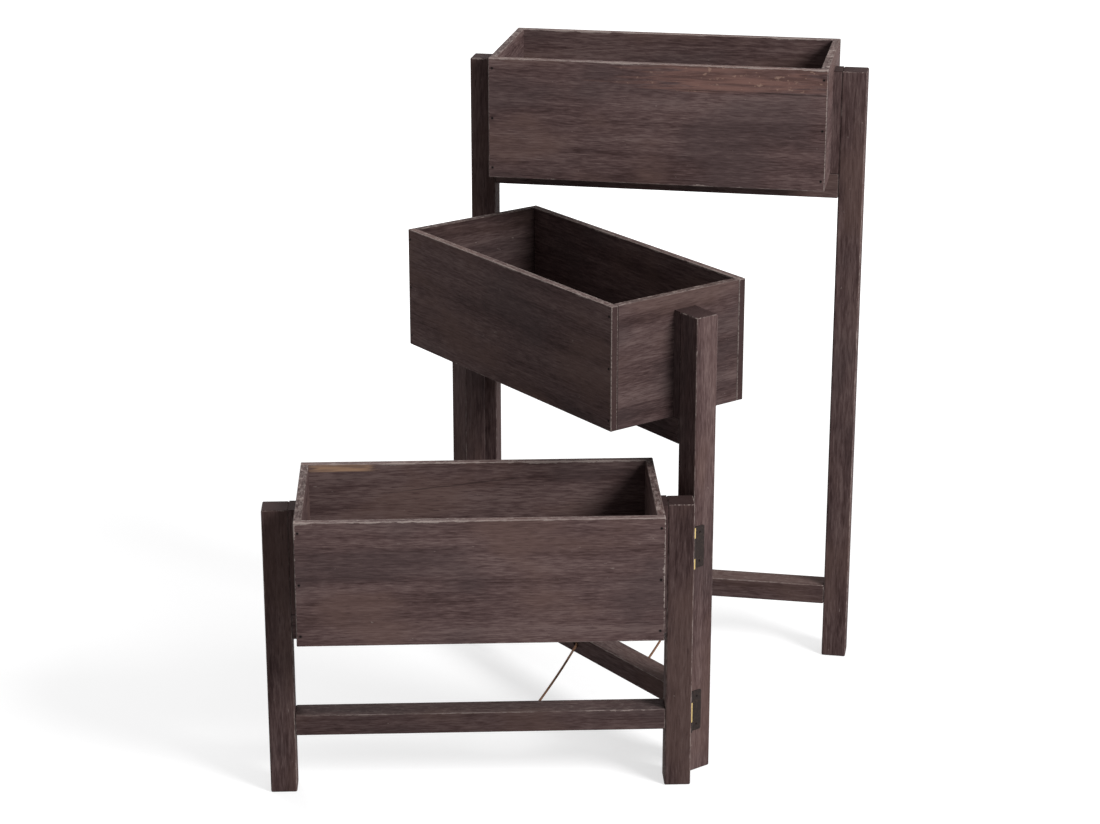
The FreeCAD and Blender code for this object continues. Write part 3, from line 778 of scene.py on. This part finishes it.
def makeTwine(name, route):
    line = smoothLine(route)
    whole = sum((b - a).length for a, b in zip(line, line[1:]))
    free = (route["startRun"], whole - route["endRun"])
    strands = splineObject(name + "Strands", "POLY", laidStrands(line, *free), twine["strandRadius"])
    rope = toMesh(strands, name + "_laid", fibreFinish)

    # For when the frame folds: how far its moving end goes, and the share of the free length that is kept
    joint = joints[route["joint"]]
    hinge = Vector(joint["pos_m"])
    turn = Matrix.Rotation(math.radians(joint["range_deg"][0]), 3, Vector(joint["axis"]))
    mouths = dict(zip(("start", "end"), sampled(line, *free, free[1] - free[0])))
    moving = mouths.pop(route["movingEnd"])
    still = mouths.popitem()[1]
    travel = hinge + turn @ (moving - hinge) - moving
    keep = 1 - travel.length / (still - moving).dot(travel.normalized())
    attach(rope, "mid_frame")
    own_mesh(rope)

    # What is in a hole stays with its stretcher: the twine's end, and a knot wound round it
    ends = {"start": (line, (0.0, free[0])), "end": (line[::-1], (free[1], whole))}
    for label, (way, stretch) in ends.items():
        inward = (way[0] - way[1]).normalized() * twine["knotLength"]
        core = [way[0] + inward * (0.5 - k / twine["knotSteps"]) for k in range(twine["knotSteps"] + 1)]
        winding = coiled(core, twine["knotRadius"], twine["knotLength"] / twine["knotTurns"], 0.0)
        lines = [winding] + laidStrands(line, *stretch)
        wound = splineObject(name + label, "POLY", lines, twine["strandRadius"])
        knot = toMesh(wound, name + "_" + label + "_knot", fibreFinish)
        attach(knot, route["moving"] if label == route["movingEnd"] else "mid_frame")
    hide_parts(name)
    freeLine = sampled(line, *free, twine["lay"] / twine["stepsPerTurn"])
    length = free[1] - free[0]
    print(f"{name}: {length * 1000:.1f} of {whole * 1000:.1f} mm are free, and {keep:.3f} is kept")


for name, route in twineRoutes.items():
    makeTwine(name, route)


# Studio: a pale floor, soft light from the front right, and a white background
studio = {
    "floorSize": 14.0,
    "floorColour": (0.50, 0.50, 0.503),
    "nearLift": 0.62,  # light that the camera sees on the floor, so that it looks white
    "farLift": 1.0,
    "fadeFrom": 0.8,
    "fadeTo": 2.2,
    "white": (1.0, 1.0, 1.0, 1.0),
    "ambient": 0.25,
    "lamps": [
        {"place": (2.52, -2.27, 2.52), "aim": (0.0, 0.0, 0.40), "size": 1.6, "power": 178.0},
        {"place": (0.2, 0.3, 3.2), "aim": (0.0, 0.0, 0.3), "size": 2.4, "power": 16.0},
        {"place": (-1.7, 2.7, 2.2), "aim": (0.0, 0.0, 0.4), "size": 2.4, "power": 60.0},
    ],
}


# 1 where the camera sees a surface, straight or in a reflection, and 0 for the light on other things
def seenRays(tree):
    return sum((makeNode(tree, "ShaderNodeLightPath", {}, {}, ray) for ray in
                ("Is Camera Ray", "Is Glossy Ray", "Is Transmission Ray")), 0.0).atMost(1.0)


def makeStudio():
    form = bmesh.new()
    bmesh.ops.create_grid(form, x_segments=1, y_segments=1, size=studio["floorSize"] / 2)
    floor = meshObject("floor", form)
    material, tree = newMaterial("paleFloor")
    matte = makeNode(tree, "ShaderNodeBsdfDiffuse", {}, {"Color": (*studio["floorColour"], 1.0)})
    sockets = {0: objectPlace(tree)}
    away = makeNode(tree, "ShaderNodeVectorMath", {"operation": "LENGTH"}, sockets, "Value")
    faded = away.rise(studio["fadeFrom"], studio["fadeTo"])
    lift = studio["nearLift"] + (studio["farLift"] - studio["nearLift"]) * faded
    lifted = makeNode(tree, "ShaderNodeEmission", {}, {"Strength": seenRays(tree) * lift})
    both = makeNode(tree, "ShaderNodeAddShader", {}, {0: matte, 1: lifted})
    makeNode(tree, "ShaderNodeOutputMaterial", {}, {"Surface": both})
    floor.data.materials.append(material)

    world = bpy.data.worlds.new("studioWhite")
    world.use_nodes = True
    world.node_tree.nodes.clear()
    tree = world.node_tree
    seen = seenRays(tree)
    sockets = {"Color": studio["white"], "Strength": seen + (1 - seen) * studio["ambient"]}
    background = makeNode(tree, "ShaderNodeBackground", {}, sockets)
    makeNode(tree, "ShaderNodeOutputWorld", {}, {"Surface": background})
    bpy.context.scene.world = world

    for count, look in enumerate(studio["lamps"]):
        data = bpy.data.lights.new("softbox" + str(count), "AREA")
        data.shape = "DISK"
        data.size = look["size"]
        data.energy = look["power"]
        lamp = bpy.data.objects.new("softbox" + str(count), data)
        lamp.location = look["place"]
        lamp.visible_camera = False
        aim = Vector(look["aim"]) - Vector(look["place"])
        lamp.rotation_euler = aim.to_track_quat("-Z", "Y").to_euler()
        bpy.context.scene.collection.objects.link(lamp)


makeStudio()
print("studio lit")

# Camera: the photograph's height and direction, with a long lens
camera = {
    "place": (-0.1518, -3.0098, 1.4201),
    "downward": 19.101,
    "turn": -2.328,
    "focalPixels": 2700.0,
    "imageWidth": 1100,
    "sensor": 36.0,
}
lens = bpy.data.cameras.new("camera")
lens.sensor_width = camera["sensor"]
lens.lens = camera["focalPixels"] / camera["imageWidth"] * camera["sensor"]
eye = bpy.data.objects.new("camera", lens)
eye.location = camera["place"]
eye.rotation_euler = (math.radians(90 - camera["downward"]), 0.0, math.radians(camera["turn"]))
bpy.context.scene.collection.objects.link(eye)
bpy.context.scene.camera = eye
bpy.context.scene.view_settings.view_transform = "Standard"
print("camera set")
